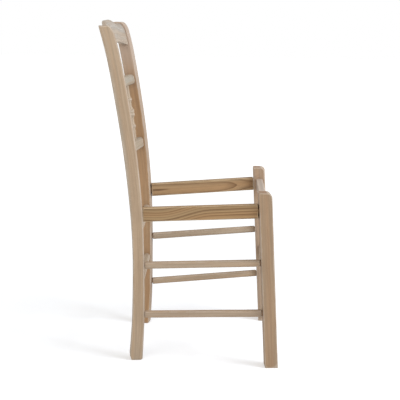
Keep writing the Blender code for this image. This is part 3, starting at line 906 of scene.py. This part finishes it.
def nearRailFigure(where, wide, high):
    # lines that hang low at the back, climb through the middle and run level to the front
    part = where / nearFigure["railLength"]
    climb, start, span = nearFigure["climb"]
    heel, heelPart = nearFigure["heel"]
    rise = climb * smoothStep((part - start) / span) + nearFigure["slope"] * part
    rise += heel * smoothStep((heelPart - part) / heelPart)
    return where * nearFigure["stretch"], wide, high - rise


def farRailFigure(where, wide, high):
    # long arches whose tips point to the front
    tip, start, span = farFigure["tip"]
    wave, waves = farFigure["wave"]
    away = farFigure["lean"] * where + tip * smoothStep((where - start) / span)
    bent = high + wave * math.sin(where * waves)
    return where * farFigure["stretch"], wide + away, bent


# side stretchers

sideStretcher = {
    "tops": {"upper": 0.2645, "lower": 0.1317},
    "size": (0.0170, 0.0180),
    "arris": 0.0050,
    "tenon": (0.0110, 0.0110),
    "tenonLength": 0.0180,
    "gaps": (0.0020, 0.0011),
    "ease": 0.0026,
    "sanding": 0.0003,
}


def addSideBar(name, sideName, seed, top, bar, look, warp=None):
    sign = sides[sideName]
    low = top - bar["size"][1] / 2
    start = Vector((sign * postMiddleX(low), layout["toe"] + postFront(low), low))
    run = postFront(low) - legFront(low) - leg["depth"]
    high = low + layout["frameRise"] * run
    end = Vector((sign * legMiddleX, layout["toe"] + legFront(high) + leg["depth"], high))
    along = (end - start).normalized()
    across = upAxis.cross(along).normalized()
    ends = ("back_post_" + sideName, "front_leg_" + sideName)
    axes = (along, across, along.cross(across))
    addBar(name, seed, ends, start, axes, (end - start).length, bar, look, warp)


# front seat rail and front stretcher

legBars = {
    "front_seat_rail": {
        "middle": 0.4080, "size": (0.0185, 0.0350), "setback": 0.0076, "arris": 0.0022,
    },
    "front_stretcher": {
        "middle": 0.2150, "size": (0.0180, 0.0300), "setback": 0.00775, "arris": 0.0050,
    },
    "both": {"ease": 0.0006, "sanding": 0.0002},
}
crossTenon = {"length": 0.0115, "thickness": 0.0090, "shoulder": 0.0080}


def addLegBar(name, seed):
    spec = legBars[name]
    thickness, height = spec["size"]
    reach = innerFace(leg, legMiddleX, spec["setback"] + thickness / 2 - leg["depth"] / 2)
    bar = {
        **spec,
        **legBars["both"],
        "flare": math.tan(math.radians(leg["turn"])) / reach,
        "tenon": (crossTenon["thickness"], height - 2 * crossTenon["shoulder"]),
        "tenonLength": crossTenon["length"],
        "gaps": (layout["tenonClearance"],) * 2,
    }
    tilt = math.atan(layout["legRake"])
    depth = legFront(spec["middle"]) + spec["setback"] + thickness / 2
    start = Vector((-reach, layout["toe"] + depth, spec["middle"]))
    across = Vector((0, math.cos(tilt), -math.sin(tilt)))
    up = Vector((0, math.sin(tilt), math.cos(tilt)))
    ends = ("front_leg_right", "front_leg_left")
    addBar(name, seed, ends, start, (Vector((1, 0, 0)), across, up), 2 * reach, bar, beechLook)


# bars between the posts, straight or bowed

def addPostBar(name, seed, sectionAt, tenon, setback, bow, spacing, sizeAt):
    # sectionAt gives (depth, height) points for a place from -1 to 1, and sizeAt gives the
    # thickness, the height and the middle there
    def ring(part, outline, extra=0.0):
        points = []
        for depth, height in outline:
            reach = postInnerX(height, depth) - layout["tenonClearance"]
            sideways = part * reach + math.copysign(extra, part)
            back = layout["toe"] + postFront(height) + depth + bow * (1 - part * part)
            points.append(Vector((sideways, back, height)))
        return points

    tenonDepth, tenonMiddle, tenonWide, tenonHigh = tenon

    def peg(grow):
        radii = (min(tenonWide, tenonHigh) / 2,) * 4
        outline = roundedOutline(tenonWide, tenonHigh, radii, grow)
        return [(tenonDepth + deep, tenonMiddle + high) for deep, high in outline]

    length, chamfer = crossTenon["length"], layout["tenonChamfer"]
    half = [
        (-1.0, peg(-chamfer), length), (-1.0, peg(0.0), length - chamfer), (-1.0, peg(0.0), 0.0),
    ]
    reach = postInnerX(tenonMiddle)
    parts = evenSteps(-1.0, 1.0, spacing / reach)
    rings = [ring(*item) for item in half]
    rings += [ring(part, sectionAt(part, seed)) for part in parts]
    rings += [ring(-part, outline, extra) for part, outline, extra in reversed(half)]

    def locate(point):
        behind = point.y - layout["toe"] - postFront(point.z)
        part = min(max(point.x / postInnerX(point.z), -1.0), 1.0)
        bowed = bow * (1 - part * part)
        reachHere = postInnerX(point.z, behind - bowed) - layout["tenonClearance"]
        thickness, tall, middle = sizeAt(part)
        deep = behind - setback - thickness / 2 - bowed
        high = point.z - middle
        gaps = (thickness / 2 - abs(deep), tall / 2 - abs(high), reachHere - abs(point.x))
        return (point.x, deep, high) + gaps

    hole = peg(layout["tenonClearance"])
    reaches = (-layout["mouthReach"], length + layout["mortiseSpare"])
    for sideName, sign in sides.items():
        jointSpots.append(ring(sign, [(tenonDepth, tenonMiddle)])[0])
        mortise = [ring(sign, hole, extra) for extra in reaches]
        mortises.setdefault("back_post_" + sideName, []).append(mortise)
    addPiece(name, rings, locate, beechLook)


# of each bar its middle and its height, and then what they share
rearBars = {
    "rear_rail": (0.3400, 0.0200),
    "rear_stretcher": (0.1985, 0.0190),
    "thickness": 0.0170,
    "arris": 0.0060,
    "setback": 0.0050,
    "tenon": (0.0110, 0.0110),
    "bow": 0.0,
    "sanding": 0.0003,
    "sandingRun": 0.15,
}
backRails = {
    "back_rail_upper": (0.7070, 0.0280),
    "back_rail_lower": (0.5290, 0.0310),
    "thickness": 0.0200,
    "arris": 0.0085,
    "setback": 0.0090,
    "tenon": (0.0090, 0.0150),
    "bow": 0.0165,
    "sanding": 0.0003,
    "sandingRun": 0.15,
}


def addPlainPostBar(name, seed, kind):
    middle, height = kind[name]
    thickness, setback = kind["thickness"], kind["setback"]

    def sectionAt(part, number):
        where = part * kind["sandingRun"]
        width = thickness - 2 * sandedOff(number, where, kind["sanding"])
        tall = height - 2 * sandedOff(number + 20, where, kind["sanding"])
        outline = roundedOutline(width, tall, (kind["arris"],) * 4)
        return [(setback + thickness / 2 + deep, middle + high) for deep, high in outline]

    def sizeAt(part):
        return thickness, height, middle

    tenon = (setback + thickness / 2, middle) + kind["tenon"]
    spacing = layout["ringSpacing"]
    addPostBar(name, seed, sectionAt, tenon, setback, kind["bow"], spacing, sizeAt)


# crest rail

crest = {
    "endDrop": 0.0030,
    "endHeight": 0.0630,
    "rise": 0.0120,
    "arch": 0.0140,
    "riseInner": 0.0600,
    "riseOuter": 0.1330,
    "thickness": 0.0180,
    "frontRound": (0.0130, 0.0200),  # of the top front edge: deep, high
    "arris": 0.0034,
    "setback": 0.0080,
    "bow": 0.0140,
    "tenon": (0.0090, 0.0360),
    "sanding": 0.0003,
    "sandingRun": 0.17,
    "spacing": 0.007,
}


def addCrest(seed):
    endTop = post["height"] - crest["endDrop"]
    endBottom = post["height"] - crest["endHeight"]
    reach = postInnerX(endTop)
    thickness = crest["thickness"]

    def edgesAt(part):
        away = abs(part) * reach
        climbed = (crest["riseOuter"] - away) / (crest["riseOuter"] - crest["riseInner"])
        rise = crest["rise"] * smoothStep(climbed)
        return endBottom + crest["arch"] * (1 - part * part), endTop + rise

    def sectionAt(part, number):
        bottom, top = edgesAt(part)
        sanded = sandedOff(number, part * crest["sandingRun"], crest["sanding"])
        tall = top - bottom - 2 * sanded
        arris = (crest["arris"],) * 2
        corners = (arris, crest["frontRound"], arris, arris)
        outline = cornerOutline(thickness / 2, tall / 2, corners)
        front, middle = crest["setback"] + thickness / 2, (top + bottom) / 2
        return [(front + deep, middle + high) for deep, high in outline]

    def sizeAt(part):
        bottom, top = edgesAt(part)
        return thickness, top - bottom, (top + bottom) / 2

    tenon = (crest["setback"] + thickness / 2, (endTop + endBottom) / 2) + crest["tenon"]
    setback, bow, spacing = crest["setback"], crest["bow"], crest["spacing"]
    addPostBar("crest_rail", seed, sectionAt, tenon, setback, bow, spacing, sizeAt)


# turned spindles

spindle = {
    "count": 4,
    "pitch": 0.0770,
    "socketShort": 0.0030,
    "socketRadius": 0.0050,
    "socketDepth": 0.0200,
    "sides": 40,
    "endRadius": 0.0046,
    # distance from the middle, radius
    "outline": (
        (0.0000, 0.0095), (0.0045, 0.0102), (0.0085, 0.0097), (0.0120, 0.0078),
        (0.0155, 0.0062), (0.0200, 0.0057), (0.0260, 0.0056), (0.0300, 0.0059),
        (0.0335, 0.0076), (0.0370, 0.0087), (0.0405, 0.0076), (0.0440, 0.0059),
        (0.0480, 0.0055), (0.0550, 0.0052),
    ),
    "beads": (0.0370, 0.0045),     # distances of the fullest places from the middle
    "beadGap": 0.001,              # keeps them less worn than a corner
    "spacing": (0.0025, 0.00075),  # between rings, in the tapers and in the beads
    "toolMark": 0.00005,
    "toolWaves": 4200.0,
}


def backRailPoint(key, across):
    middle = backRails[key][0]
    part = across / (postInnerX(middle) - layout["tenonClearance"])
    depth = postFront(middle) + backRails["setback"] + backRails["thickness"] / 2
    return Vector((across, layout["toe"] + depth + backRails["bow"] * (1 - part * part), middle))


def addSpindle(number):
    across = (number - (spindle["count"] - 1) / 2) * spindle["pitch"]
    low, high = backRailPoint("back_rail_lower", across), backRailPoint("back_rail_upper", across)
    along = (high - low).normalized()
    length = (high - low).length - 2 * spindle["socketShort"]
    middle = (low + high) / 2
    side = along.cross(Vector((0, 1, 0))).normalized()
    deep = along.cross(side)
    taperStart, taperRadius = spindle["outline"][-1]

    def radiusAt(where):
        away = abs(where)
        if away <= taperStart:
            radius = curveAt(spindle["outline"], away)
        else:
            part = (away - taperStart) / (length / 2 - taperStart)
            radius = taperRadius + (spindle["endRadius"] - taperRadius) * part
        mark = 0.5 + 0.5 * math.sin(where * spindle["toolWaves"] + number)
        return radius - spindle["toolMark"] * mark

    coarse, fine = spindle["spacing"]
    places = evenSteps(-length / 2, -taperStart, coarse)[:-1]
    places += evenSteps(-taperStart, taperStart, fine)
    places += evenSteps(taperStart, length / 2, coarse)[1:]

    def ringAt(where, radius):
        ring = []
        for step in range(spindle["sides"]):
            angle = 2 * math.pi * step / spindle["sides"]
            point = middle + along * where + side * (radius * math.cos(angle))
            ring.append(point + deep * (radius * math.sin(angle)))
        return ring

    rings = [ringAt(where, radiusAt(where)) for where in places]

    def locate(point):
        offset = point - middle
        where = offset.dot(along)
        wide, thick = offset.dot(side), offset.dot(deep)
        away = abs(where)
        bead = min(abs(away - fullest) for fullest in spindle["beads"]) + spindle["beadGap"]
        return where, wide, thick, 0.0, bead, length / 2 - away

    bottom = length / 2 + layout["mortiseSpare"]
    depths = (-bottom, spindle["socketDepth"] - bottom)
    for sign, key, end in ((1, "back_rail_lower", low), (-1, "back_rail_upper", high)):
        jointSpots.append(end + along * (sign * backRails[key][1] / 2))
        socket = [ringAt(sign * where, spindle["socketRadius"]) for where in depths]
        mortises.setdefault(key, []).append(socket)
    addPiece("spindle_%d" % (number + 1), rings, locate, beechLook)


# the whole chair; each piece has a seed of its own for its sanding

for index, sideName in enumerate(sides):
    addPost(sideName, index + 1)
    addLeg(sideName, index + 3)
print("posts and legs made")

for index, (sideName, figure) in enumerate((("right", nearRailFigure), ("left", farRailFigure))):
    name = "side_rail_" + sideName
    addSideBar(name, sideName, 5 + index, sideRail["top"], sideRail, pineLook, figure)
for index, (level, top) in enumerate(sideStretcher["tops"].items()):
    for second, sideName in enumerate(sides):
        name = "side_stretcher_%s_%s" % (level, sideName)
        addSideBar(name, sideName, 7 + 2 * index + second, top, sideStretcher, beechLook)
addLegBar("front_seat_rail", 11)
addLegBar("front_stretcher", 12)
print("seat frame and stretchers made")

plainBars = (
    ("rear_rail", rearBars), ("rear_stretcher", rearBars),
    ("back_rail_upper", backRails), ("back_rail_lower", backRails),
)
for index, (name, kind) in enumerate(plainBars):
    addPlainPostBar(name, 13 + index, kind)
addCrest(17)
for number in range(spindle["count"]):
    addSpindle(number)
print("back made")

for piece, name, locate in waiting:
    if name in mortises:
        cutMortises(piece, mortises[name])
    addAttributes(piece.data, name, locate)
print("mortises cut and grain laid out")

# camera, at the photograph's angle

cameraPlace = {
    "position": (-2.808, layout["toe"] + 0.1690, 0.9351),
    "yaw": 0.0138,    # turn to the left of straight along +X
    "pitch": 0.1897,  # tilt down
    "roll": 0.0115,
    "lens": 94.91,
    "sensor": 36.0,
}


def addCamera(spec):
    forward = Vector((math.cos(spec["yaw"]), math.sin(spec["yaw"]), 0.0))
    right = Vector((math.sin(spec["yaw"]), -math.cos(spec["yaw"]), 0.0))
    ahead = math.cos(spec["pitch"]) * forward - math.sin(spec["pitch"]) * upAxis
    above = math.cos(spec["pitch"]) * upAxis + math.sin(spec["pitch"]) * forward
    sideways = math.cos(spec["roll"]) * right + math.sin(spec["roll"]) * above
    up = math.cos(spec["roll"]) * above - math.sin(spec["roll"]) * right
    camera = newObject("photoCamera", bpy.data.cameras.new("photoCamera"))
    turn = Matrix((sideways, up, -ahead)).transposed().to_4x4()
    camera.matrix_world = Matrix.Translation(spec["position"]) @ turn
    camera.data.lens = spec["lens"]
    camera.data.sensor_width = spec["sensor"]
    camera.data.sensor_fit = "HORIZONTAL"
    bpy.context.scene.camera = camera


addCamera(cameraPlace)

# studio: pale floor, soft lamps, white surround

studio = {
    "floorHalf": 14.0,
    "floorColour": (0.80, 0.80, 0.80, 1.0),
    "floorGlow": (0.36, 0.66),  # near the chair and far off, for the camera and reflections
    "glowReach": (1.0, 4.0),
    "surroundLight": 0.55,
    "lampAim": (0.0, 0.0, 0.45),
    "lamps": {
        "keyLamp": {
            "place": (-1.3, -3.4, 2.6), "size": 2.4, "power": 150.0, "colour": (0.92, 0.99, 1.10),
        },
        "fillLamp": {
            "place": (-3.2, 1.8, 2.0), "size": 2.6, "power": 40.0, "colour": (1.0, 1.0, 1.0),
        },
    },
}


def seenDirectly(tree):
    path = place(tree, "ShaderNodeLightPath").outputs
    either = maths(tree, "MAXIMUM", path["Is Camera Ray"], path["Is Glossy Ray"])
    return maths(tree, "MAXIMUM", either, path["Is Transmission Ray"])


def addFloor():
    half = studio["floorHalf"]
    mesh = bpy.data.meshes.new("studioFloor")
    corners = [(-half, -half, 0), (half, -half, 0), (half, half, 0), (-half, half, 0)]
    mesh.from_pydata(corners, [], [(0, 1, 2, 3)])
    material, tree, shader = newMaterial("studioFloor")
    away = lengthOf(tree, place(tree, "ShaderNodeNewGeometry").outputs["Position"])
    glow = ranged(tree, away, *studio["glowReach"], *studio["floorGlow"])
    feed(tree, shader, {
        "Base Color": studio["floorColour"],
        "Roughness": 1.0,
        "Specular IOR Level": 0.0,
        "Emission Color": (1, 1, 1, 1),
        "Emission Strength": maths(tree, "MULTIPLY", seenDirectly(tree), glow),
    })
    mesh.materials.append(material)
    floor = newObject("studioFloor", mesh)


def addSurround():
    world = bpy.data.worlds.new("studio")
    bpy.context.scene.world = world
    world.use_nodes = True
    tree = world.node_tree
    light = studio["surroundLight"]
    strength = maths(tree, "MULTIPLY_ADD", seenDirectly(tree), 1.0 - light, light)
    feed(tree, tree.nodes["Background"], {"Color": (1, 1, 1, 1), "Strength": strength})


def addLamps():
    aim = Vector(studio["lampAim"])
    for name, spec in studio["lamps"].items():
        data = bpy.data.lights.new(name, "AREA")
        data.shape = "SQUARE"
        data.size = spec["size"]
        data.energy = spec["power"]
        data.color = spec["colour"]
        lamp = newObject(name, data)
        lamp.location = spec["place"]
        lamp.rotation_euler = (aim - lamp.location).to_track_quat("-Z", "Y").to_euler()


addFloor()
addSurround()
addLamps()
bpy.context.scene.view_settings.view_transform = "Standard"
print("studio set up")
